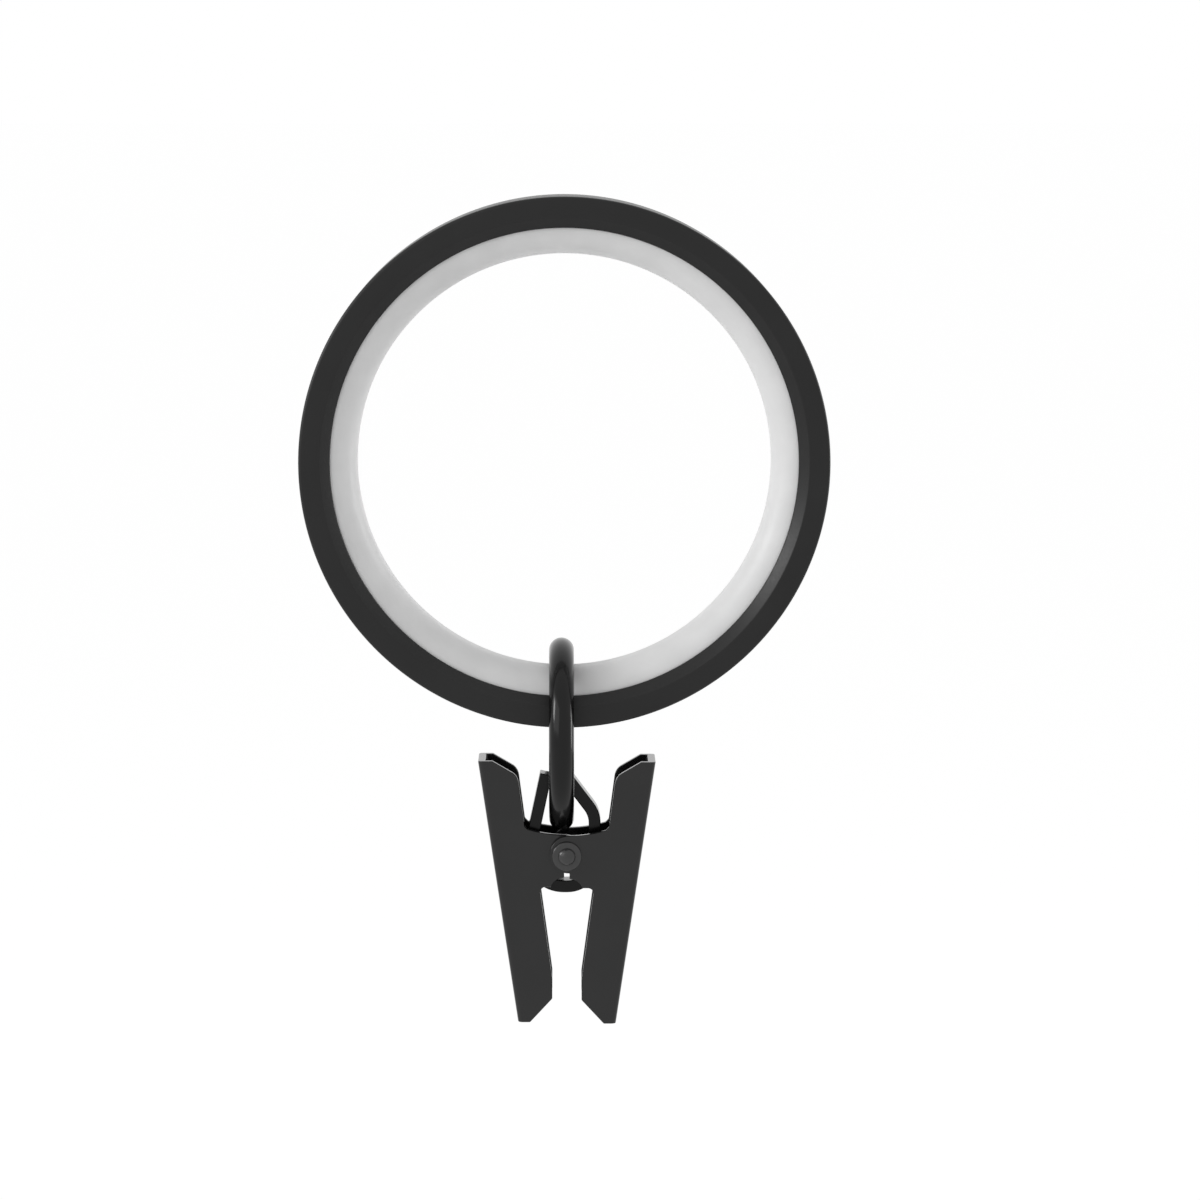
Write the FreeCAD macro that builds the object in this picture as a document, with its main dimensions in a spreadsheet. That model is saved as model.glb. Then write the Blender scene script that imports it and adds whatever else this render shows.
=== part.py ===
import FreeCAD, Part
import Sketcher
import math
import os
import re

# Curtain ring with clip: a rolled steel ring with a plastic sliding liner, a wire ring that
# hangs from it, and a sprung two-jaw clip held to the wire ring by a bent strap.
# The frame: origin at the big ring's centre, ring axis along Y, front towards -Y, Z up.

doc = FreeCAD.newDocument("curtain_ring_clip")
sheet = doc.addObject("Spreadsheet::Sheet", "Sizes")
os.makedirs("parts", exist_ok=True)

# Driving dimensions in millimetres and degrees.
SIZES = [
    ("throat_dia", 38.0, "smallest diameter of the liner, where the rod passes"),
    ("band_depth", 5.26, "from the throat to the outside of the steel ring"),
    ("ring_width", 9.0, "width of the ring along its axis"),
    ("ring_sheet", 1.0, "sheet thickness of the steel ring"),
    ("lip_depth", 2.87, "depth of the rolled lips from the outside of the ring"),
    ("lip_bevel", 0.95, "width of the bevel inside each lip, seen from the front"),
    ("lip_round", 0.2, "radius where the bevel meets the face and the lip's edge"),
    ("ring_corner", 0.3, "radius on the outer corners of the ring"),
    ("liner_gap", 0.05, "gap between the liner and the channel round it"),
    ("crown_round", 2.5, "radius of the liner's crown on each side"),
    ("link_wire", 2.3, "wire diameter of the hanging ring"),
    ("link_room", 7.94, "room inside the hanging ring beside the depth of the big ring"),
    ("link_play", 0.25, "height of the wire above the liner where it hangs"),
    ("link_side", -0.28, "sideways place of the hanging ring"),
    ("clip_side", 0.2, "sideways place of the clip"),
    ("pin_drop", 2.01, "from the underside of the hanging ring to the rivet's axis"),
    ("clip_depth", 7.0, "depth of the clip over both jaws"),
    ("jaw_sheet", 0.7, "sheet thickness of the jaws"),
    ("jaw_gap", 0.08, "running gap between the two jaws' ears"),
    ("handle_half", 8.17, "from the rivet's axis to the handle's outer top corner"),
    ("handle_rise", 8.7, "height of the handles above the rivet"),
    ("tip_half", 4.5, "from the rivet's axis to the outer corner of the tip"),
    ("tip_drop", 15.6, "depth of the tips below the rivet"),
    ("spine_flat", 1.33, "level stretch at the top of the handle"),
    ("shoulder_half", 4.52, "from the rivet's axis to the handle's inner corner"),
    ("shoulder_rise", 7.35, "height of the handle's inner corner"),
    ("shoulder_round", 1.3, "radius on the handle's inner corner"),
    ("ear_half", 3.59, "half width of the ears' dished top edge"),
    ("ear_rise", 2.36, "height of the top edge at its ends"),
    ("ear_root", 0.3, "size of the corner between the ear and the handle"),
    ("ear_dip", 1.85, "height of the top edge over the rivet"),
    ("ear_nose", 1.55, "reach of an ear past the rivet's axis"),
    ("ear_under", 1.6, "depth of an ear's nose under the rivet"),
    ("notch_half", 0.25, "half width of the notch under the rivet"),
    ("arch_peak", 2.13, "depth of the arch at the notch"),
    ("arch_foot", 2.98, "depth of the arch at its foot"),
    ("arch_half", 1.45, "half width of the arch at its foot"),
    ("crotch_half", 2.52, "half width of the gap between the legs at its top"),
    ("crotch_round", 0.5, "radius at the top of the gap between the legs"),
    ("grip_half", 1.35, "from the middle to the gripping edge"),
    ("grip_top", 11.55, "depth where the gripping edge starts"),
    ("grip_end", 13.4, "depth where the gripping edge ends"),
    ("tip_flange", 1.1, "width of the flange at the bottom of the tip"),
    ("spine_bend", 0.45, "outside radius of the bend between spine and flange"),
    ("rivet_dia", 1.4, "shaft diameter of the rivet"),
    ("rivet_fit", 0.05, "running gap round the rivet and under its heads"),
    ("head_dia", 2.7, "diameter of the rivet's heads"),
    ("head_rim", 0.3, "thickness of a head's rim"),
    ("head_round", 0.14, "radius on the edge of the rim"),
    ("dome_dia", 1.6, "diameter of the dome on a head"),
    ("dome_rise", 0.5, "height of the dome over the rim"),
    ("dome_round", 0.4, "radius on the edge of the dome"),
    ("strap_sheet", 1.1, "thickness of the strap"),
    ("strap_depth", 2.6, "depth of the strap"),
    ("strap_left", 3.3, "from the rivet's axis to the left side's outer face, at strap_level"),
    ("strap_right", 3.12, "from the rivet's axis to the right side's outer face"),
    ("strap_level", 3.43, "height where strap_left is measured"),
    ("strap_lean", 12.0, "lean of the left side in degrees"),
    ("strap_rise", 7.3, "height of the left side's cut end"),
    ("strap_drop", 3.7, "depth of the strap's underside below the rivet"),
    ("left_round", 3.1, "middle radius of the bottom left bend"),
    ("right_round", 2.5, "middle radius of the bottom right bend"),
    ("hook_level", 3.6, "height of the corner where the right side turns in"),
    ("hook_slope", 53.0, "slope of the run that turns in, in degrees"),
    ("hook_round", 2.5, "middle radius of that turn"),
    ("hook_reach", 0.5, "how far that run goes past the rivet's axis"),
    ("spring_wire", 0.5, "wire diameter of the clip's spring"),
    ("spring_gap", 0.12, "gap between the spring and the rivet, ears and spines"),
    ("spring_turns", 6, "whole turns of the spring"),
    ("spring_slope", 30.0, "rise of the spring's legs in degrees"),
]

for row, (alias, value, meaning) in enumerate(SIZES, start=1):
    sheet.set(f"A{row}", meaning)
    sheet.set(f"B{row}", str(value))
    sheet.setAlias(f"B{row}", alias)

# Sizes that follow from the driving ones.
FOLLOWING = [
    ("throat_r", "throat_dia / 2", "radius of the throat"),
    ("ring_r", "throat_r + band_depth", "outside radius of the ring"),
    ("lip_r", "ring_r - lip_depth", "radius inside the lips"),
    ("ring_y", "ring_width / 2", "half the ring's width"),
    ("liner_r", "ring_r - ring_sheet - liner_gap", "outside radius of the liner"),
    ("liner_y", "ring_y - ring_sheet - liner_gap", "half the liner's width"),
    ("link_bore_r", "(band_depth + link_room) / 2", "inside radius of the hanging ring"),
    ("link_r", "link_bore_r + link_wire / 2", "radius of the hanging ring's wire centre"),
    ("link_level", "throat_r - link_play + link_bore_r", "depth of the hanging ring's centre"),
    ("pin_level", "link_level + link_r + link_wire / 2 + pin_drop", "depth of the rivet's axis"),
    ("outer_y", "clip_depth / 2", "half the clip's depth"),
    ("inner_y", "outer_y - jaw_sheet - jaw_gap", "outside of the inner ear from the middle"),
    ("spine_run", "(handle_half - tip_half) / (handle_rise + tip_drop)", "lean of the spine"),
    ("spine_wall", "jaw_sheet * sqrt(1 + spine_run ^ 2)", "level thickness of the leaning spine"),
    ("rivet_r", "rivet_dia / 2", "radius of the rivet"),
    ("spring_r", "rivet_r + spring_gap + spring_wire / 2", "radius of the spring's wire centre"),
    ("spring_y", "inner_y - jaw_sheet - spring_gap - spring_wire / 2", "a spring leg from the middle"),
    ("leg_face", "handle_half - spine_run * handle_rise - spine_wall - spring_gap", "leg's end"),
    ("strap_mid", "strap_sheet / 2", "half the strap's thickness"),
]
for row, (alias, formula, meaning) in enumerate(FOLLOWING, start=len(SIZES) + 1):
    sheet.set(f"A{row}", meaning)
    sheet.set(f"B{row}", "=" + formula)
    sheet.setAlias(f"B{row}", alias)
doc.recompute()

ALIASES = {row[0] for row in SIZES + FOLLOWING}


def size(formula):
    """The value of a formula written in the sheet's names."""
    return float(sheet.evalExpression(formula))


def bound(formula):
    """The same formula, as another object's expression has to write it."""
    return re.sub(r"[a-z_]+", lambda m: "Sizes." + m[0] if m[0] in ALIASES else m[0], formula)


def tie(thing, field, formula):
    """Bind one field of an object to the sheet."""
    thing.setExpression(field, bound(formula))


def new_body(name):
    body = doc.addObject("PartDesign::Body", name)
    body.Label = name
    return body


def new_sketch(body, name, plane, offset=None):
    """A sketch on one of the body's own origin planes, moved along its normal by offset."""
    sketch = body.newObject("Sketcher::SketchObject", name)
    support = next(f for f in body.Origin.OriginFeatures if f.Role == plane)
    sketch.AttachmentSupport = [(support, "")]
    sketch.MapMode = "FlatFace"
    if offset:
        tie(sketch, "AttachmentOffset.Base.z", offset)
    return sketch


def measured(sketch, kind, where, label, formula):
    """Add a constraint whose value follows a formula."""
    value = math.radians(size(formula)) if kind == "Angle" else size(formula)
    index = sketch.addConstraint(Sketcher.Constraint(kind, *where, value))
    sketch.renameConstraint(index, label)
    tie(sketch, "Constraints." + label, formula)


def place(sketch, geometry, end, x, y, label):
    """Hold a point of the sketch at the formulas x and y, measured from the origin.

    A sketch knows its own axes as the elements -1 (across) and -2 (up), and its origin as
    point 1 of the first.
    """
    for kind, axis, formula in (("DistanceX", -2, x), ("DistanceY", -1, y)):
        if formula == "0":
            sketch.addConstraint(Sketcher.Constraint("PointOnObject", geometry, end, axis))
        else:
            measured(sketch, kind, (-1, 1, geometry, end), f"{label}_{kind[-1].lower()}", formula)


def arc_between(first, last, radius, left):
    """Arc from first to last, its centre to the left or the right of the way between them."""
    way = last.sub(first)
    normal = FreeCAD.Vector(-way.y, way.x, 0).normalize()
    rise = math.sqrt(max(radius ** 2 - (way.Length / 2) ** 2, 0))
    centre = (first + last) * 0.5 + normal * (rise if left else -rise)
    circle = Part.Circle(centre, FreeCAD.Vector(0, 0, 1), radius)
    begin, stop = (first, last) if left else (last, first)
    angles = [math.atan2(p.y - centre.y, p.x - centre.x) for p in (begin, stop)]
    return Part.ArcOfCircle(circle, *angles), ((1, 2) if left else (2, 1))


def outline(sketch, corners, closed=True):
    """Draw an outline through corners, each (x, y) with ("round", r) or ("left"/"right", r).

    "round" rounds that corner; "left" and "right" make the edge that leaves it an arc.
    """
    count = len(corners)
    points = [FreeCAD.Vector(size(c[0]), size(c[1]), 0) for c in corners]
    arrive, leave = list(points), list(points)
    for i, corner in enumerate(corners):
        if corner[2:] and corner[2] == "round":
            back = (points[i - 1] - points[i]).normalize()
            onward = (points[(i + 1) % count] - points[i]).normalize()
            setback = size(corner[3]) / math.tan(back.getAngle(onward) / 2)
            arrive[i] = points[i] + back * setback
            leave[i] = points[i] + onward * setback
    edges = []
    for i in range(count if closed else count - 1):
        first, last = leave[i], arrive[(i + 1) % count]
        bend = corners[i][2] if corners[i][2:] else None
        if bend in ("left", "right"):
            arc, ends = arc_between(first, last, size(corners[i][3]), bend == "left")
            edges.append((sketch.addGeometry(arc), *ends))
            measured(sketch, "Radius", (edges[-1][0],), f"bow_{i}", corners[i][3])
        else:
            edges.append((sketch.addGeometry(Part.LineSegment(first, last)), 1, 2))
    for i, corner in enumerate(corners):
        label = f"corner_{i}"
        if not closed and i == 0:
            place(sketch, edges[0][0], edges[0][1], corner[0], corner[1], label)
            continue
        before, after = edges[i - 1], edges[i % count] if i < len(edges) else None
        if not closed and i == count - 1:
            place(sketch, before[0], before[2], corner[0], corner[1], label)
        elif corner[2:] and corner[2] == "round":
            turn = (points[i] - points[i - 1]).cross(points[(i + 1) % count] - points[i]).z
            arc, ends = arc_between(arrive[i], leave[i], size(corner[3]), turn > 0)
            arc = sketch.addGeometry(arc)
            sharp = sketch.addGeometry(Part.Point(points[i]), True)
            for edge, end, other in ((before, before[2], ends[0]), (after, after[1], ends[1])):
                sketch.addConstraint(Sketcher.Constraint("Tangent", edge[0], end, arc, other))
                sketch.addConstraint(Sketcher.Constraint("PointOnObject", sharp, 1, edge[0]))
            measured(sketch, "Radius", (arc,), f"round_{i}", corner[3])
            place(sketch, sharp, 1, corner[0], corner[1], label)
        else:
            sketch.addConstraint(Sketcher.Constraint("Coincident", before[0], before[2], after[0], after[1]))
            place(sketch, after[0], after[1], corner[0], corner[1], label)
    return sketch


def disc(sketch, x, y, radius):
    """Draw a circle with its centre at the formulas x and y."""
    centre = FreeCAD.Vector(size(x), size(y), 0)
    circle = sketch.addGeometry(Part.Circle(centre, FreeCAD.Vector(0, 0, 1), size(radius)))
    measured(sketch, "Radius", (circle,), "radius", radius)
    place(sketch, circle, 3, x, y, "centre")
    return sketch


def grow(body, kind, name, profile, length=None, reverse=False):
    """Add a PartDesign feature on a sketch, with its length bound where it has one."""
    feature = body.newObject("PartDesign::" + kind, name)
    feature.Profile = profile
    feature.Reversed = reverse
    if length:
        tie(feature, "Length", length)
    return feature


def turned(body, name, profile):
    """Turn a profile all the way round the Y axis."""
    feature = grow(body, "Revolution", name, profile)
    feature.ReferenceAxis = (profile, ["V_Axis"])
    feature.Angle = 360
    return feature


# Steel ring: one strip rolled to a channel that opens inwards and holds the liner. Each lip is
# bevelled inside, over most of the sheet's thickness.

def make_steel_ring():
    body = new_body("steel_ring")
    inside_r = "ring_r - ring_sheet"
    inside_y = "ring_y - ring_sheet"
    face_r = "lip_r + lip_bevel"
    edge_y = "ring_y - 0.8 * ring_sheet"
    outline(new_sketch(body, "channel_section", "XY_Plane"), [
        ("lip_r", f"-({edge_y})", "round", "lip_round"),
        (face_r, "-ring_y", "round", "lip_round"),
        ("ring_r", "-ring_y", "round", "ring_corner"),
        ("ring_r", "ring_y", "round", "ring_corner"),
        (face_r, "ring_y", "round", "lip_round"),
        ("lip_r", edge_y, "round", "lip_round"),
        ("lip_r", inside_y),
        (inside_r, inside_y),
        (inside_r, "-(ring_y - ring_sheet)"),
        ("lip_r", "-(ring_y - ring_sheet)"),
    ])
    turned(body, "rolled_channel", body.Group[-1])
    return body


# Liner: a moulded plastic ring that sits in the channel. Its crown is what slides on the rod.

def make_ring_liner():
    body = new_body("ring_liner")
    crown = "min(crown_round; 0.95 * liner_y)"
    outline(new_sketch(body, "liner_section", "XY_Plane"), [
        ("throat_r", "-liner_y", "round", crown),
        ("liner_r", "-liner_y"),
        ("liner_r", "liner_y"),
        ("throat_r", "liner_y", "round", crown),
    ])
    turned(body, "moulded_liner", body.Group[-1])
    return body


# Wire ring: a closed round wire that hangs over the liner and carries the clip's strap.

def make_wire_ring():
    ring = doc.addObject("Part::Torus", "wire_ring")
    ring.Label = "wire_ring"
    tie(ring, "Radius1", "link_r")
    tie(ring, "Radius2", "link_wire / 2")
    ring.Placement = FreeCAD.Placement(FreeCAD.Vector(), FreeCAD.Rotation(FreeCAD.Vector(0, 1, 0), 90))
    tie(ring, "Placement.Base.x", "link_side")
    tie(ring, "Placement.Base.z", "-link_level")
    return ring


def hang_from_rivet(body, turn=0):
    """Put a piece of the clip, drawn about the rivet's axis, in its place."""
    body.Placement = FreeCAD.Placement(FreeCAD.Vector(), FreeCAD.Rotation(FreeCAD.Vector(0, 0, 1), turn))
    tie(body, "Placement.Base.x", "clip_side")
    tie(body, "Placement.Base.z", "-pin_level")
    return body


# Strap: a flat strip bent round the rivet and over the wire ring. Its left side leans and ends
# in a square cut; its right side turns in over the wire to meet it.

def make_hanger_strap():
    body = new_body("hanger_strap")
    floor = "-(strap_drop - strap_mid)"
    left_x = "strap_left - strap_mid / cos(strap_lean)"
    top_x = f"-({left_x} - (strap_rise - strap_level) * tan(strap_lean))"
    foot_x = f"-({left_x} + (strap_level + strap_drop - strap_mid) * tan(strap_lean))"
    right_x = "strap_right - strap_mid"
    hook_top = f"hook_level + ({right_x} + hook_reach) * tan(hook_slope)"
    section = new_sketch(body, "strip_section", "YZ_Plane")
    outline(section, [
        ("-strap_depth / 2", "-strap_drop"),
        ("strap_depth / 2", "-strap_drop"),
        ("strap_depth / 2", "-(strap_drop - strap_sheet)"),
        ("-strap_depth / 2", "-(strap_drop - strap_sheet)"),
    ])
    left = outline(new_sketch(body, "left_way", "XZ_Plane"), [
        ("0", floor),
        (foot_x, floor, "round", "left_round"),
        (top_x, "strap_rise"),
    ], closed=False)
    right = outline(new_sketch(body, "right_way", "XZ_Plane"), [
        ("0", floor),
        (right_x, floor, "round", "right_round"),
        (right_x, "hook_level", "round", "hook_round"),
        ("-hook_reach", hook_top),
    ], closed=False)
    for name, way in (("left_side", left), ("right_side", right)):
        side = body.newObject("PartDesign::AdditivePipe", name)
        side.Profile = section
        side.Spine = (way, [])
    return hang_from_rivet(body)


# Jaws: two equal channels pressed from sheet. Each has a leaning spine with the handle above
# and the tip below, and an ear front and back that crosses over the rivet. One jaw is the other
# turned half round, so the front ear of the right one and the back ear of the left lie outside.

def make_jaw(name, turn):
    body = new_body(name)
    ear_bow = "(ear_half ^ 2 + (ear_rise - ear_dip) ^ 2) / (2 * (ear_rise - ear_dip))"
    nose_bow = "((ear_dip + ear_under) ^ 2 / 4 + ear_nose ^ 2) / (2 * ear_nose)"
    arch_x = "(arch_half - notch_half)"
    arch_z = "(arch_foot - arch_peak)"
    arch_bow = f"({arch_x} ^ 2 + {arch_z} ^ 2) / (2 * {arch_z})"
    blank = outline(new_sketch(body, "side_outline", "XZ_Plane", "-inner_y"), [
        ("handle_half", "handle_rise"),
        ("handle_half - spine_flat", "handle_rise"),
        ("shoulder_half", "shoulder_rise", "round", "shoulder_round"),
        ("ear_half + ear_root", "ear_rise + ear_root"),
        ("ear_half", "ear_rise", "right", ear_bow),
        ("0", "ear_dip", "left", nose_bow),
        ("0", "-ear_under"),
        ("notch_half", "-ear_under"),
        ("notch_half", "-arch_peak", "right", arch_bow),
        ("arch_half", "-arch_foot"),
        ("crotch_half", "-arch_foot", "round", "crotch_round"),
        ("grip_half", "-grip_top"),
        ("grip_half", "-grip_end"),
        ("tip_half - tip_flange", "-tip_drop"),
        ("tip_half", "-tip_drop"),
    ])
    solid = grow(body, "Pad", "pressed_blank", blank, "outer_y + inner_y")
    doc.recompute()
    bends = [f"Edge{i}" for i, edge in enumerate(solid.Shape.Edges, start=1)
             if is_spine_corner(edge)]
    fillet = body.newObject("PartDesign::Fillet", "spine_bends")
    fillet.Base = (solid, bends)
    tie(fillet, "Radius", "min(spine_bend; 0.8 * jaw_sheet)")
    margin = "jaw_sheet"
    hollow = outline(new_sketch(body, "hollow_outline", "XZ_Plane", "outer_y - jaw_sheet"), [
        (f"handle_half + spine_run * {margin} - spine_wall", f"handle_rise + {margin}"),
        (f"-(ear_nose + {margin})", f"handle_rise + {margin}"),
        (f"-(ear_nose + {margin})", f"-(tip_drop + {margin})"),
        (f"tip_half - spine_run * {margin} - spine_wall", f"-(tip_drop + {margin})"),
    ])
    grow(body, "Pocket", "hollow", hollow, "outer_y + inner_y - 2 * jaw_sheet")
    bore = disc(new_sketch(body, "rivet_hole_outline", "XZ_Plane", "outer_y"),
                "0", "0", "rivet_r + rivet_fit")
    grow(body, "Pocket", "rivet_hole", bore, "outer_y + inner_y")
    return hang_from_rivet(body, turn)


def is_spine_corner(edge):
    """True for the two long outer edges of the spine."""
    if len(edge.Vertexes) != 2:
        return False
    ends = sorted((v.Point for v in edge.Vertexes), key=lambda p: p.z)
    low = abs(ends[0].z + size("tip_drop")) + abs(ends[0].x - size("tip_half"))
    high = abs(ends[1].z - size("handle_rise")) + abs(ends[1].x - size("handle_half"))
    return low + high < size("rivet_fit")


# Rivet: a headed pin through all four ears, both heads set with a low dome.

def make_pivot_rivet():
    body = new_body("pivot_rivet")
    under = "(outer_y + rivet_fit)"
    rim = f"({under} + head_rim)"
    top = f"({rim} + dome_rise)"
    dome = "min(dome_round; 0.9 * dome_rise)"
    edge = "min(head_round; 0.45 * head_rim)"
    outline(new_sketch(body, "rivet_section", "XY_Plane"), [
        ("0", f"-{top}"),
        ("dome_dia / 2", f"-{top}", "round", dome),
        ("dome_dia / 2", f"-{rim}"),
        ("head_dia / 2", f"-{rim}", "round", edge),
        ("head_dia / 2", f"-{under}"),
        ("rivet_r", f"-{under}"),
        ("rivet_r", under),
        ("head_dia / 2", under),
        ("head_dia / 2", rim, "round", edge),
        ("dome_dia / 2", rim),
        ("dome_dia / 2", top, "round", dome),
        ("0", top),
    ])
    turned(body, "headed_pin", body.Group[-1])
    return hang_from_rivet(body)


# Spring: round wire coiled on the rivet between the inner ears. Its front leg presses on the
# left spine and its back leg on the right one, which keeps the tips together.

def make_torsion_spring():
    body = new_body("torsion_spring")
    section = disc(new_sketch(body, "wire_section", "XY_Plane"), "spring_r", "-spring_y", "spring_wire / 2")
    coil = grow(body, "AdditiveHelix", "coil", section)
    coil.ReferenceAxis = (section, ["V_Axis"])
    coil.Mode = "height-turns-angle"
    tie(coil, "Height", "2 * spring_y")
    tie(coil, "Turns", "spring_turns + spring_slope / 180")
    coil.LeftHanded = True
    level = "leg_face - spine_run * spring_r * cos(spring_slope) - spring_r * sin(spring_slope)"
    bevel = "spring_wire / 2 * sin(spring_slope)"
    length = f"({level} - {bevel}) / (cos(spring_slope) - spine_run * sin(spring_slope))"
    grow(body, "Pad", "front_leg", section, length, reverse=True)
    far = disc(new_sketch(body, "far_section", "XY_Plane"), "spring_r", "spring_y", "spring_wire / 2")
    far.AttachmentOffset = FreeCAD.Placement(
        FreeCAD.Vector(), FreeCAD.Rotation(FreeCAD.Vector(0, 1, 0), -2 * size("spring_slope")))
    grow(body, "Pad", "back_leg", far, length)
    hang_from_rivet(body)
    first_turn = FreeCAD.Rotation(FreeCAD.Vector(0, 1, 0), 90 + size("spring_slope"))
    body.Placement = FreeCAD.Placement(body.Placement.Base, first_turn)
    return body


pieces = [
    make_steel_ring(),
    make_ring_liner(),
    make_wire_ring(),
    make_hanger_strap(),
    make_jaw("left_jaw", 180),
    make_jaw("right_jaw", 0),
    make_pivot_rivet(),
    make_torsion_spring(),
]
doc.recompute()

for thing in doc.Objects:
    if "Invalid" in thing.State or "Error" in thing.State:
        raise RuntimeError(f"{thing.Label} did not compute: {thing.State}")
for piece in pieces:
    if piece.Shape.isNull() or not piece.Shape.isValid() or len(piece.Shape.Solids) != 1:
        raise RuntimeError(f"{piece.Label} is not one sound solid")
    piece.Shape.exportStep(f"parts/{piece.Label}.step")
    box = piece.Shape.BoundBox
    print(f"{piece.Label}: {piece.Shape.Volume:.2f} mm3, z {box.ZMin:.2f} to {box.ZMax:.2f}")
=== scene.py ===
import math

import bpy
from mathutils import Matrix, Vector


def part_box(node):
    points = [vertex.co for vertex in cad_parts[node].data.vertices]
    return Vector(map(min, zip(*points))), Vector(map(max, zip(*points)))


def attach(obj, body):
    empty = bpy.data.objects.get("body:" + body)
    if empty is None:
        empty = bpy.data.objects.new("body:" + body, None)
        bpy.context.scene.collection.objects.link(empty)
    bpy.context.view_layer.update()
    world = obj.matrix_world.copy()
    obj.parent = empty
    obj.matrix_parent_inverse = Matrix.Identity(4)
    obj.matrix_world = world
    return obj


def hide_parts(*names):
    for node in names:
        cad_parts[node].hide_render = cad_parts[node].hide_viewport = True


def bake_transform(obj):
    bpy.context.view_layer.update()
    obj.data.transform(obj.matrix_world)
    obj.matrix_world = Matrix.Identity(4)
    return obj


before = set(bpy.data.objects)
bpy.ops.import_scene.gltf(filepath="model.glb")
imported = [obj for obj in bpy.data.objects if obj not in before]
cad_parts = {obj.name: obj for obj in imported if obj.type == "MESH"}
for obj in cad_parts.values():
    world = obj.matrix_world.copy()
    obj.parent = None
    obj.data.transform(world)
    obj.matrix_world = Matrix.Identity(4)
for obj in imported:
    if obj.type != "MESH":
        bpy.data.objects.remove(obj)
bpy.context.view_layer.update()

# Steel ring
# One strip of steel rolled into a channel that opens inwards over the liner, its lips bevelled.
# It has a matt black powder coat: even, with a fine orange-peel grain and a dull sheen.

MM = 0.001


def linear(hex_colour):
    """An sRGB hex colour as the linear RGBA that shaders take."""
    parts = [int(hex_colour[i:i + 2], 16) / 255 for i in (1, 3, 5)]
    low = [c / 12.92 if c <= 0.04045 else ((c + 0.055) / 1.055) ** 2.4 for c in parts]
    return (*low, 1.0)


def add(owner, kind, settings=None, links=None):
    """Add a node to a material or world; settings go to its inputs or fields, links to inputs."""
    node = owner.node_tree.nodes.new(kind)
    for name, value in (settings or {}).items():
        if name in node.inputs:
            node.inputs[name].default_value = value
        else:
            setattr(node, name, value)
    for name, source in (links or {}).items():
        owner.node_tree.links.new(source, node.inputs[name])
    return node


def empty_material(name):
    """A new material without any nodes."""
    material = bpy.data.materials.new(name)
    material.use_nodes = True
    material.node_tree.nodes.clear()
    return material


def mesh_piece(name, points, faces, material, smooth_angle=30):
    """A mesh object with one material, shaded smooth except across edges past an angle."""
    mesh = bpy.data.meshes.new(name)
    mesh.from_pydata([tuple(p) for p in points], [], faces)
    mesh.validate()
    piece = bpy.data.objects.new(name, mesh)
    bpy.context.scene.collection.objects.link(piece)
    mesh.materials.append(material)
    mesh.shade_smooth()
    mesh.set_sharp_from_angle(angle=math.radians(smooth_angle))
    return piece


def rounded(corners, steps=6):
    """Corners (x, y, radius) as points, each corner with a radius turned into an arc."""
    path = []
    count = len(corners)
    for i, (x, y, radius) in enumerate(corners):
        here = Vector((x, y))
        if radius == 0:
            path.append(here)
            continue
        back = (Vector(corners[i - 1][:2]) - here).normalized()
        onward = (Vector(corners[(i + 1) % count][:2]) - here).normalized()
        half = back.angle(onward) / 2
        centre = here + (back + onward).normalized() * radius / math.sin(half)
        first = here + back * radius / math.tan(half) - centre
        last = here + onward * radius / math.tan(half) - centre
        sweep = first.angle_signed(last)
        for step in range(steps + 1):
            path.append(centre + Matrix.Rotation(-sweep * step / steps, 2) @ first)
    return path


def turned_ring(section, turns):
    """Points and faces of a closed section (radius, y) turned about the Y axis."""
    points, faces = [], []
    for step in range(turns):
        angle = 2 * math.pi * step / turns
        points += [Vector((p.x * math.cos(angle), p.y, p.x * math.sin(angle))) for p in section]
    count = len(section)
    for step in range(turns):
        a, b = step * count, (step + 1) % turns * count
        for i in range(count):
            j = (i + 1) % count
            faces.append((a + i, a + j, b + j, b + i))
    return points, faces


ring_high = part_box("steel_ring")[1]
ring_r = ring_high.z
ring_y = ring_high.y
ring_sheet = 1.0 * MM
lip_height = 2.87 * MM
bevel_width = 0.95 * MM
bevel_depth = 0.8 * ring_sheet
lip_round = 0.2 * MM
ring_corner = 0.3 * MM
inner_break = 0.1 * MM
RING_TURNS = 360

# Powder sprayed on and baked flows into a thick even skin. To the eye it is a soft, nearly uniform
# black with a broad dull sheen, which the grain of the powder only just breaks up. The real grain
# is about 0.1 mm, too fine to show in the render, and is drawn at twice that.
powder_coat = empty_material("powder coat, matt black, on steel")
powder_grain = 0.22 * MM
powder_cloud = 6 * MM
place = add(powder_coat, "ShaderNodeTexCoord")
grain = add(powder_coat, "ShaderNodeTexNoise",
            {"Scale": 1 / powder_grain, "Detail": 3.0, "Roughness": 0.55},
            {"Vector": place.outputs["Object"]})
cloud = add(powder_coat, "ShaderNodeTexNoise",
            {"Scale": 1 / powder_cloud, "Detail": 2.0},
            {"Vector": place.outputs["Object"]})
tone = add(powder_coat, "ShaderNodeValToRGB", links={"Fac": cloud.outputs["Fac"]})
tone.color_ramp.elements[0].position = 0.3
tone.color_ramp.elements[0].color = linear("#1e1e1e")
tone.color_ramp.elements[1].position = 0.7
tone.color_ramp.elements[1].color = linear("#222222")
sheen = add(powder_coat, "ShaderNodeMapRange",
            {"From Min": 0.3, "From Max": 0.7, "To Min": 0.32, "To Max": 0.4},
            {"Value": grain.outputs["Fac"]})
peel = add(powder_coat, "ShaderNodeBump",
           {"Strength": 0.25, "Distance": 0.02 * MM},
           {"Height": grain.outputs["Fac"]})
coat = add(powder_coat, "ShaderNodeBsdfPrincipled", {"IOR": 1.33},
           {"Base Color": tone.outputs["Color"], "Roughness": sheen.outputs["Result"],
            "Normal": peel.outputs["Normal"]})
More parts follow.
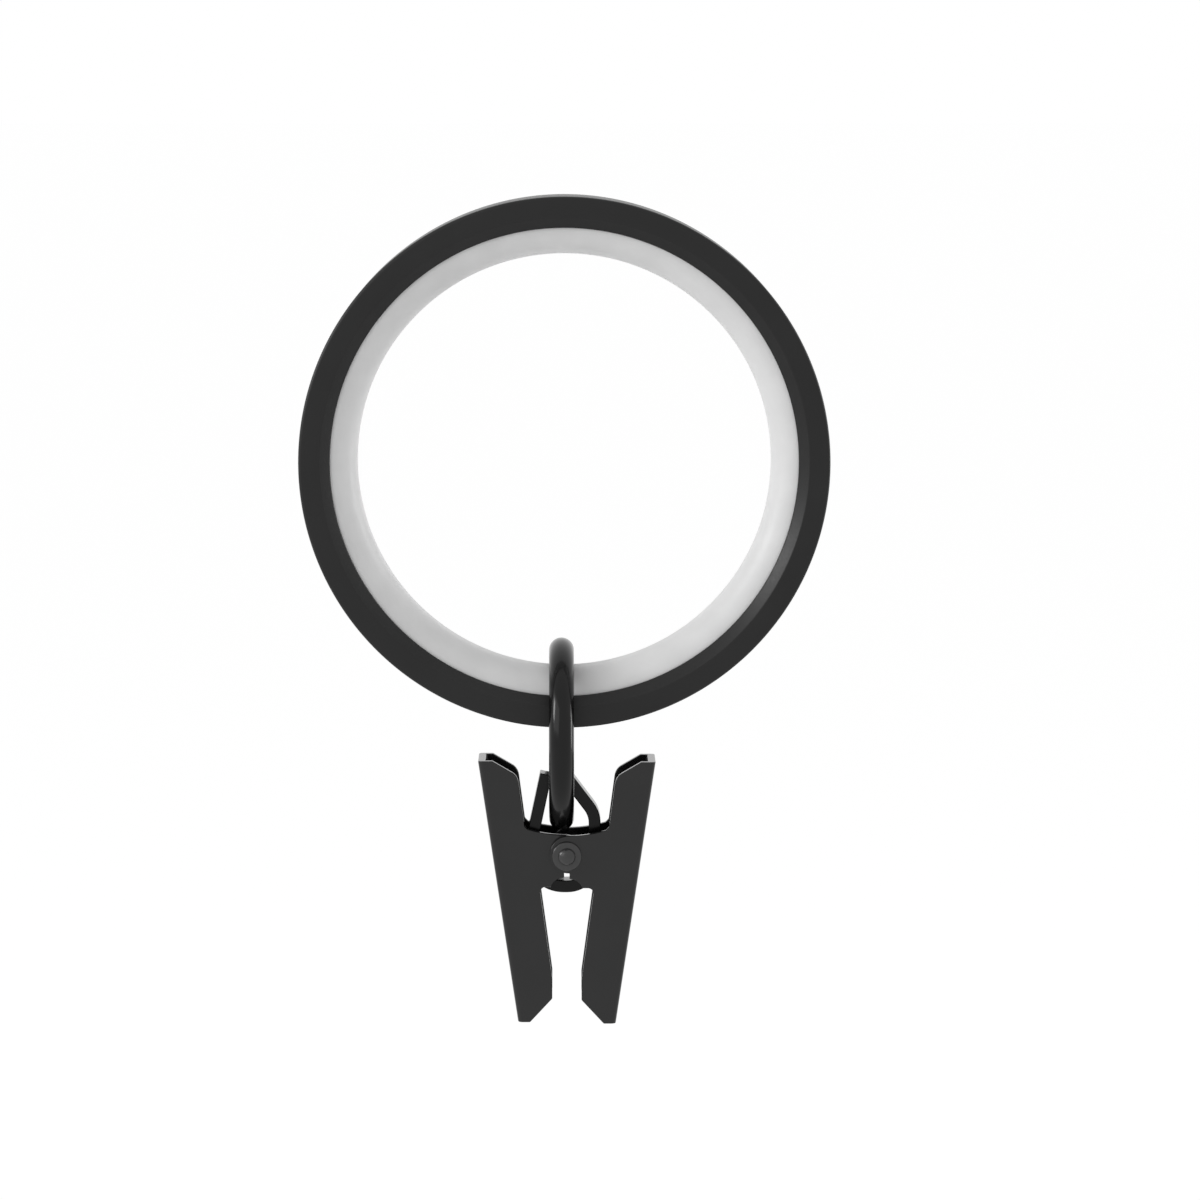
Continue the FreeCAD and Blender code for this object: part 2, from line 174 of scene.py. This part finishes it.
add(powder_coat, "ShaderNodeOutputMaterial", links={"Surface": coat.outputs["BSDF"]})

# The section of the channel, from the front lip over the outside and the back lip to the inside
lip_r = ring_r - lip_height
inside_r = ring_r - ring_sheet
inside_y = ring_y - ring_sheet
edge_y = ring_y - bevel_depth
face_r = lip_r + bevel_width
channel = rounded([
    (lip_r, -edge_y, lip_round),
    (face_r, -ring_y, lip_round),
    (ring_r, -ring_y, ring_corner),
    (ring_r, ring_y, ring_corner),
    (face_r, ring_y, lip_round),
    (lip_r, edge_y, lip_round),
    (lip_r, inside_y, 0),
    (inside_r, inside_y, inner_break),
    (inside_r, -inside_y, inner_break),
    (lip_r, -inside_y, 0),
])
steel_ring = mesh_piece("rolled_ring", *turned_ring(channel, RING_TURNS), powder_coat)
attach(steel_ring, "ring")
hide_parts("steel_ring")

# Sliding liner
# A ring moulded in natural white acetal, snapped into the steel channel. Its round crown is what
# slides on the rod.

liner_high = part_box("ring_liner")[1]
liner_r = liner_high.z
liner_y = liner_high.y
throat_r = 19.0 * MM
crown_round = 2.5 * MM
CROWN_STEPS = 14

# Acetal is a hard waxy plastic, and the mould's finely eroded face leaves it matt. To the eye it
# is a soft milky white with a satin sheen and no sharp mirror image, very faintly clouded by flow
# marks. The eroded pits are about 0.05 mm and are drawn at three times that, so that they show.
acetal = empty_material("acetal, natural white, moulded")
flow_mark = 3 * MM
mould_pit = 0.15 * MM
glow_depth = 0.4 * MM
place = add(acetal, "ShaderNodeTexCoord")
flow = add(acetal, "ShaderNodeTexNoise",
           {"Scale": 1 / flow_mark, "Detail": 4.0, "Roughness": 0.5},
           {"Vector": place.outputs["Object"]})
tone = add(acetal, "ShaderNodeValToRGB", links={"Fac": flow.outputs["Fac"]})
tone.color_ramp.elements[0].position = 0.3
tone.color_ramp.elements[0].color = linear("#dfdfdf")
tone.color_ramp.elements[1].position = 0.7
tone.color_ramp.elements[1].color = linear("#e5e5e5")
pits = add(acetal, "ShaderNodeTexNoise",
           {"Scale": 1 / mould_pit, "Detail": 2.0},
           {"Vector": place.outputs["Object"]})
shine = add(acetal, "ShaderNodeMapRange",
            {"From Min": 0.3, "From Max": 0.7, "To Min": 0.38, "To Max": 0.48},
            {"Value": pits.outputs["Fac"]})
skin = add(acetal, "ShaderNodeBump",
           {"Strength": 0.1, "Distance": 0.01 * MM},
           {"Height": pits.outputs["Fac"]})
plastic = add(acetal, "ShaderNodeBsdfPrincipled",
              {"IOR": 1.48, "Subsurface Weight": 0.08, "Subsurface Radius": (glow_depth,) * 3,
               "Subsurface Scale": 1.0},
              {"Base Color": tone.outputs["Color"], "Roughness": shine.outputs["Result"],
               "Normal": skin.outputs["Normal"]})
add(acetal, "ShaderNodeOutputMaterial", links={"Surface": plastic.outputs["BSDF"]})

crown = rounded([
    (throat_r, -liner_y, crown_round),
    (liner_r, -liner_y, 0),
    (liner_r, liner_y, 0),
    (throat_r, liner_y, crown_round),
], CROWN_STEPS)
ring_liner = mesh_piece("sliding_liner", *turned_ring(crown, RING_TURNS), acetal)
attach(ring_liner, "ring")
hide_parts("ring_liner")

# Wire ring
# A ring of round steel wire, butted and welded shut, with a gloss black lacquer. It hangs over the
# liner and carries the strap.

link_low, link_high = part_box("wire_ring")
link_x = (link_low.x + link_high.x) / 2
link_z = (link_low.z + link_high.z) / 2
wire_r = (link_high.x - link_low.x) / 2
link_r = link_high.y - wire_r
LINK_TURNS = 240
WIRE_SIDES = 48

# Lacquer stoved over smooth drawn wire. To the eye it is a deep black that draws each light out
# into a long streak down the wire, and its shallow waves make the streaks slightly uneven.
lacquer = empty_material("lacquer, gloss black, on steel wire")
lacquer_wave = 0.8 * MM
place = add(lacquer, "ShaderNodeTexCoord")
ripple = add(lacquer, "ShaderNodeTexNoise",
             {"Scale": 1 / lacquer_wave, "Detail": 2.0},
             {"Vector": place.outputs["Object"]})
gloss = add(lacquer, "ShaderNodeMapRange",
            {"From Min": 0.3, "From Max": 0.7, "To Min": 0.13, "To Max": 0.19},
            {"Value": ripple.outputs["Fac"]})
waves = add(lacquer, "ShaderNodeBump",
            {"Strength": 0.08, "Distance": 0.02 * MM},
            {"Height": ripple.outputs["Fac"]})
black = add(lacquer, "ShaderNodeBsdfPrincipled",
            {"IOR": 1.34, "Base Color": linear("#060606")},
            {"Roughness": gloss.outputs["Result"], "Normal": waves.outputs["Normal"]})
add(lacquer, "ShaderNodeOutputMaterial", links={"Surface": black.outputs["BSDF"]})

points, faces = [], []
for turn in range(LINK_TURNS):
    around = 2 * math.pi * turn / LINK_TURNS
    out = Vector((0, math.cos(around), math.sin(around)))
    centre = Vector((link_x, 0, link_z)) + out * link_r
    for side in range(WIRE_SIDES):
        across = 2 * math.pi * side / WIRE_SIDES
        points.append(centre + (out * math.cos(across) + Vector((math.sin(across), 0, 0))) * wire_r)
    first, second = turn * WIRE_SIDES, (turn + 1) % LINK_TURNS * WIRE_SIDES
    for side in range(WIRE_SIDES):
        other = (side + 1) % WIRE_SIDES
        faces.append((first + side, second + side, second + other, first + other))
wire_ring = mesh_piece("hanging_wire_ring", points, faces, lacquer)
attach(wire_ring, "link")
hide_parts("wire_ring")

# Clip jaws
# The two jaws are channels pressed from 0.7 mm steel sheet, plated black and lacquered, each with
# two ears for the rivet. Tumbling after the press has broken their cut edges.

sheet_break = 0.09 * MM
weld_gap = 0.002 * MM
FLAT_WITHIN = math.radians(0.5)
EDGE_PAST = math.radians(35)

# Clear lacquer over black plating on cold-rolled sheet. To the eye the flat faces are an even dark
# grey, because they mirror a little of the white room, while the insides stay black and the broken
# edges catch thin lines of light. The sheet's rolled grain is about 0.05 mm, too fine to show, and
# is drawn at 0.18 mm.
blacking = empty_material("black lacquer, satin, on pressed steel")
rolled_grain = 0.18 * MM
plating_cloud = 4 * MM
place = add(blacking, "ShaderNodeTexCoord")
fine = add(blacking, "ShaderNodeTexNoise",
           {"Scale": 1 / rolled_grain, "Detail": 3.0, "Roughness": 0.6},
           {"Vector": place.outputs["Object"]})
broad = add(blacking, "ShaderNodeTexNoise",
            {"Scale": 1 / plating_cloud, "Detail": 2.0},
            {"Vector": place.outputs["Object"]})
tone = add(blacking, "ShaderNodeValToRGB", links={"Fac": broad.outputs["Fac"]})
tone.color_ramp.elements[0].position = 0.3
tone.color_ramp.elements[0].color = linear("#161616")
tone.color_ramp.elements[1].position = 0.7
tone.color_ramp.elements[1].color = linear("#1a1a1a")
satin = add(blacking, "ShaderNodeMapRange",
            {"From Min": 0.3, "From Max": 0.7, "To Min": 0.13, "To Max": 0.19},
            {"Value": fine.outputs["Fac"]})
rolled = add(blacking, "ShaderNodeBump",
             {"Strength": 0.15, "Distance": 0.015 * MM},
             {"Height": fine.outputs["Fac"]})
steel = add(blacking, "ShaderNodeBsdfPrincipled", {"IOR": 1.43},
            {"Base Color": tone.outputs["Color"], "Roughness": satin.outputs["Result"],
             "Normal": rolled.outputs["Normal"]})
add(blacking, "ShaderNodeOutputMaterial", links={"Surface": steel.outputs["BSDF"]})


def pressed_copy(node, name, body, material):
    """The node's own form as a new piece, its coplanar faces joined and its edges broken."""
    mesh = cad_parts[node].data.copy()
    mesh.name = name
    piece = bpy.data.objects.new(name, mesh)
    bpy.context.scene.collection.objects.link(piece)
    mesh.materials.clear()
    mesh.materials.append(material)
    if mesh.has_custom_normals:
        mesh.attributes.remove(mesh.attributes["custom_normal"])
    mesh.shade_smooth()
    weld = piece.modifiers.new("weld", "WELD")
    weld.merge_threshold = weld_gap
    flat = piece.modifiers.new("flat faces", "DECIMATE")
    flat.decimate_type = "DISSOLVE"
    flat.angle_limit = FLAT_WITHIN
    edges = piece.modifiers.new("broken edges", "BEVEL")
    edges.width = sheet_break
    edges.segments = 2
    edges.limit_method = "ANGLE"
    edges.angle_limit = EDGE_PAST
    flats = piece.modifiers.new("even flats", "WEIGHTED_NORMAL")
    flats.weight = 100
    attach(piece, body)
    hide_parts(node)


pressed_copy("left_jaw", "left_jaw_pressing", "jaw_left", blacking)
pressed_copy("right_jaw", "right_jaw_pressing", "jaw_right", blacking)

# Strap
# One strip of steel bent into a loop, up over the wire ring and down round the rivet, finished
# with the jaws in one batch. What shows from the front is its sheared edge.

# A copy of the jaws' lacquer with a darker colour and a lower IOR, so that it mirrors less of the
# room:
# painted shade that makes the strap's sheared edge as black as the shadow between the ears.
shade_darkened_blacking = blacking.copy()
shade_darkened_blacking.name = "black lacquer, thin, on bent steel strip"
# Painted shade: the copy's colours are darkened and its IOR lowered below the jaws' lacquer.
for node in shade_darkened_blacking.node_tree.nodes:
    if node.type == "VALTORGB":
        node.color_ramp.elements[0].color = linear("#0b0b0b")
        node.color_ramp.elements[1].color = linear("#121212")
    if node.type == "BSDF_PRINCIPLED":
        node.inputs["IOR"].default_value = 1.28
pressed_copy("hanger_strap", "bent_strap", "strap", shade_darkened_blacking)

# Rivet
# A steel pin through all four ears, headed over at both ends to a low dome on a flat rim. It has
# the same black lacquer as the clip, dented and worn smooth on the heads.

rivet_low, rivet_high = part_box("pivot_rivet")
pin_x = (rivet_low.x + rivet_high.x) / 2
pin_z = (rivet_low.z + rivet_high.z) / 2
head_r = (rivet_high.x - rivet_low.x) / 2
rivet_end = rivet_high.y
rivet_r = 0.7 * MM
dome_r = 0.8 * MM
dome_rise = 0.5 * MM
head_rim = 0.3 * MM
rim_round = 0.14 * MM
under_round = 0.05 * MM
RIVET_TURNS = 96

# Lacquer that the heading tool has dented and handling has rubbed. To the eye it is a dark grey, a
# shade lighter than the jaws, with small soft glints on the dome and the rim.
worn_lacquer = empty_material("black lacquer, worn smooth, on the steel rivet")
tool_dent = 0.25 * MM
place = add(worn_lacquer, "ShaderNodeTexCoord")
hammer = add(worn_lacquer, "ShaderNodeTexNoise",
             {"Scale": 1 / tool_dent, "Detail": 3.0},
             {"Vector": place.outputs["Object"]})
wear = add(worn_lacquer, "ShaderNodeMapRange",
           {"From Min": 0.3, "From Max": 0.7, "To Min": 0.14, "To Max": 0.26},
           {"Value": hammer.outputs["Fac"]})
dents = add(worn_lacquer, "ShaderNodeBump",
            {"Strength": 0.3, "Distance": 0.02 * MM},
            {"Height": hammer.outputs["Fac"]})
smooth = add(worn_lacquer, "ShaderNodeBsdfPrincipled",
             {"IOR": 1.5, "Base Color": linear("#303030")},
             {"Roughness": wear.outputs["Result"], "Normal": dents.outputs["Normal"]})
add(worn_lacquer, "ShaderNodeOutputMaterial", links={"Surface": smooth.outputs["BSDF"]})

# Half the section, from beside the dome's top to the pin under the head, and its mirror image
rim_y = rivet_end - dome_rise
under_y = rim_y - head_rim
dome = [math.radians(angle) for angle in range(1, 90, 8)]
half_pin = [(dome_r * math.sin(t), rim_y + dome_rise * math.cos(t), 0) for t in dome] + [
    (dome_r, rim_y, 0),
    (head_r, rim_y, rim_round),
    (head_r, under_y, under_round),
    (rivet_r, under_y, 0),
]
other_half = [(x, -y, radius) for x, y, radius in reversed(half_pin)]
pin_points, pin_faces = turned_ring(rounded(half_pin + other_half), RIVET_TURNS)
pin_points = [point + Vector((pin_x, 0, pin_z)) for point in pin_points]
rivet = mesh_piece("headed_rivet", pin_points, pin_faces, worn_lacquer)
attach(rivet, "strap")
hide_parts("pivot_rivet")

# Spring
# Round spring wire coiled on the rivet. Its front leg presses on the left jaw's spine and its back
# leg on the right one's.

spring_low, spring_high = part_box("torsion_spring")
spring_wire = 0.5 * MM
spring_play = 0.12 * MM
spring_r = rivet_r + spring_play + spring_wire / 2
spring_y = spring_high.y - spring_wire / 2
SPRING_TURNS = 6
LEG_SLOPE = 30
COIL_STEPS = 48
LEG_STEPS = 12
SPRING_SIDES = 20

# Hard drawn spring wire, blackened by the oil of its heat treatment. To the eye it is a dark steel
# grey with a metal's sheen, slightly mottled. The mottling is finer on real wire and is drawn at
# 0.4 mm, so that it shows on a wire this thin.
blued_steel = empty_material("spring steel wire, hardened and blackened")
oil_mottle = 0.4 * MM
place = add(blued_steel, "ShaderNodeTexCoord")
scale_marks = add(blued_steel, "ShaderNodeTexNoise",
                  {"Scale": 1 / oil_mottle, "Detail": 3.0},
                  {"Vector": place.outputs["Object"]})
tone = add(blued_steel, "ShaderNodeValToRGB", links={"Fac": scale_marks.outputs["Fac"]})
tone.color_ramp.elements[0].position = 0.35
tone.color_ramp.elements[0].color = linear("#262626")
tone.color_ramp.elements[1].position = 0.65
tone.color_ramp.elements[1].color = linear("#333333")
drawn = add(blued_steel, "ShaderNodeMapRange",
            {"From Min": 0.3, "From Max": 0.7, "To Min": 0.3, "To Max": 0.42},
            {"Value": scale_marks.outputs["Fac"]})
lines = add(blued_steel, "ShaderNodeBump",
            {"Strength": 0.15, "Distance": 0.01 * MM},
            {"Height": scale_marks.outputs["Fac"]})
wire = add(blued_steel, "ShaderNodeBsdfPrincipled", {"Metallic": 1.0},
           {"Base Color": tone.outputs["Color"], "Roughness": drawn.outputs["Result"],
            "Normal": lines.outputs["Normal"]})
add(blued_steel, "ShaderNodeOutputMaterial", links={"Surface": wire.outputs["BSDF"]})


def round_wire(path, radius, sides):
    """Points and faces of a round wire along a path, with both ends closed."""
    points, faces = [], []
    axis = Vector((0, 1, 0))
    for i, here in enumerate(path):
        along = (path[min(i + 1, len(path) - 1)] - path[max(i - 1, 0)]).normalized()
        across = axis.cross(along).normalized()
        up = along.cross(across)
        for side in range(sides):
            angle = 2 * math.pi * side / sides
            points.append(here + (across * math.cos(angle) + up * math.sin(angle)) * radius)
    for i in range(len(path) - 1):
        for side in range(sides):
            a, b = i * sides + side, i * sides + (side + 1) % sides
            faces.append((a, b, b + sides, a + sides))
    faces.append(tuple(reversed(range(sides))))
    faces.append(tuple(range((len(path) - 1) * sides, len(path) * sides)))
    return points, faces


def coil_point(turned, depth):
    """A point on the coil's middle line, turned so many degrees about the pin."""
    angle = math.radians(turned)
    return Vector((pin_x + spring_r * math.cos(angle), depth, pin_z + spring_r * math.sin(angle)))


# Both legs leave the coil's underside and rise outwards, and the wire's end touches the box's side
slope = math.radians(LEG_SLOPE)
foot_x = pin_x - spring_r * math.sin(slope)
leg = (foot_x - spring_wire / 2 * math.sin(slope) - spring_low.x) / math.cos(slope)
first_angle = -90 - LEG_SLOPE
sweep = SPRING_TURNS * 360 + 2 * LEG_SLOPE
steps = int(COIL_STEPS * sweep / 360)
coil = [coil_point(first_angle + sweep * i / steps, -spring_y + 2 * spring_y * i / steps)
        for i in range(steps + 1)]
left_way = Vector((-math.cos(slope), 0, math.sin(slope)))
right_way = Vector((math.cos(slope), 0, math.sin(slope)))
front_leg = [coil[0] + left_way * leg * i / LEG_STEPS for i in range(LEG_STEPS, 0, -1)]
back_leg = [coil[-1] + right_way * leg * i / LEG_STEPS for i in range(1, LEG_STEPS + 1)]
middle = steps // 2
for name, path, jaw, foot, way in (
    ("spring_front_half", front_leg + coil[:middle + 1], "jaw_left", coil[0], left_way),
    ("spring_back_half", coil[middle:] + back_leg, "jaw_right", coil[-1], right_way),
):
    wire_mesh = round_wire(path, spring_wire / 2, SPRING_SIDES)
    half_spring = mesh_piece(name, *wire_mesh, blued_steel, smooth_angle=50)
    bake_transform(half_spring)
    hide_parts("torsion_spring")

# Camera
# The camera stands 0.5 m in front of the ring and a little above its axis. Its picture is a square
# of 1200 pixels at 10.88 to the millimetre, and it aims at what lies in the middle of the square.

scene = bpy.context.scene
PICTURE_SIDE_PX = 1200
PIXELS_PER_MM = 10.88
RING_CENTRE_PX = (564.4, 459.2)
LOOK_DOWN = math.radians(4.3)
CAMERA_AWAY = 0.5
SENSOR_MM = 36

picture_side = PICTURE_SIDE_PX / PIXELS_PER_MM * MM
eye = Vector((0, -math.cos(LOOK_DOWN), math.sin(LOOK_DOWN))) * CAMERA_AWAY
aim = Vector((PICTURE_SIDE_PX / 2 - RING_CENTRE_PX[0], 0, RING_CENTRE_PX[1] - PICTURE_SIDE_PX / 2))
aim *= MM / PIXELS_PER_MM

camera_data = bpy.data.cameras.new("camera")
camera_data.sensor_width = SENSOR_MM
camera_data.lens = SENSOR_MM * CAMERA_AWAY / picture_side
camera_data.clip_end = 20
camera = bpy.data.objects.new("camera", camera_data)
camera.location = eye
camera.rotation_mode = "QUATERNION"
camera.rotation_quaternion = (aim - eye).to_track_quat("-Z", "Y")
scene.collection.objects.link(camera)
scene.camera = camera

# Floor
# A wide sheet of white studio paper, well below the hanging clip. The camera sees it as plain
# white, straight or in gloss or glass, under which the matt paper keeps the part's soft shadow.


def seen_or_mirrored(owner):
    """A factor of 1 where the camera looks straight at the surface, or sees it in gloss or glass."""
    ray = add(owner, "ShaderNodeLightPath")
    gloss_too = add(owner, "ShaderNodeMath", {"operation": "MAXIMUM"},
                    {0: ray.outputs["Is Camera Ray"], 1: ray.outputs["Is Glossy Ray"]})
    glass_too = add(owner, "ShaderNodeMath", {"operation": "MAXIMUM"},
                    {0: gloss_too.outputs[0], 1: ray.outputs["Is Transmission Ray"]})
    return glass_too.outputs[0]


floor_z = -0.17
floor_side = 30.0
white_share = 0.85

# Matt white paper. To the eye it is even and without any gloss, and its fibres give the least
# tooth; they are about 0.05 mm wide and are drawn at 2 mm, as clumps, so that they show at all.
paper = empty_material("white studio paper")
fibre_clump = 2 * MM
place = add(paper, "ShaderNodeTexCoord")
fibre = add(paper, "ShaderNodeTexNoise", {"Scale": 1 / fibre_clump, "Detail": 2.0},
            {"Vector": place.outputs["Object"]})
tooth = add(paper, "ShaderNodeBump", {"Strength": 0.05, "Distance": 0.05 * MM},
            {"Height": fibre.outputs["Fac"]})
matt = add(paper, "ShaderNodeBsdfPrincipled",
           {"Base Color": linear("#f4f4f4"), "Roughness": 0.9, "Specular IOR Level": 0.2},
           {"Normal": tooth.outputs["Normal"]})
glow = add(paper, "ShaderNodeEmission", {"Strength": 1.08})
white = add(paper, "ShaderNodeMath", {"operation": "MULTIPLY"}, {0: seen_or_mirrored(paper)})
white.inputs[1].default_value = white_share
sheet = add(paper, "ShaderNodeMixShader",
            links={0: white.outputs[0], 1: matt.outputs["BSDF"], 2: glow.outputs["Emission"]})
add(paper, "ShaderNodeOutputMaterial", links={"Surface": sheet.outputs["Shader"]})

half = floor_side / 2
floor = mesh_piece("floor", [(-half, -half, floor_z), (half, -half, floor_z),
                             (half, half, floor_z), (-half, half, floor_z)], [(0, 1, 2, 3)], paper)

# Room
# White walls all round light the part softly at about half strength, and the same walls are plain
# white where the camera sees them.

world = bpy.data.worlds.new("studio")
scene.world = world
world.use_nodes = True
world.node_tree.nodes.clear()
room = add(world, "ShaderNodeBackground", {"Color": (1, 1, 1, 1), "Strength": 0.54})
backdrop = add(world, "ShaderNodeBackground", {"Color": (1, 1, 1, 1), "Strength": 1.0})
mixed = add(world, "ShaderNodeMixShader",
            links={0: seen_or_mirrored(world), 1: room.outputs[0], 2: backdrop.outputs[0]})
add(world, "ShaderNodeOutputWorld", links={"Surface": mixed.outputs[0]})

# Lamps
# Three flat panels, all turned to the ring's centre: a broad one at the front left, a small one
# beside the ring that draws the wire's left streak, and a tall narrow one behind it on the right
# for the edges. Each has its place and its width and height in metres, and its power in watts.

LAMPS = {
    "key_lamp": ((-0.62, -0.5, 0.3), 0.8, 0.5, 1.4),
    "side_lamp": ((-0.75, -0.17, 0.28), 0.2, 0.25, 1.7),
    "rim_lamp": ((0.77, 0.2, 0.15), 0.15, 0.6, 1.8),
}
for name, (where, width, height, power) in LAMPS.items():
    data = bpy.data.lights.new(name, "AREA")
    data.shape = "RECTANGLE"
    data.size = width
    data.size_y = height
    data.energy = power
    lamp = bpy.data.objects.new(name, data)
    lamp.location = where
    lamp.rotation_mode = "QUATERNION"
    lamp.rotation_quaternion = (-Vector(where)).to_track_quat("-Z", "Y")
    scene.collection.objects.link(lamp)

scene.view_settings.view_transform = "Standard"
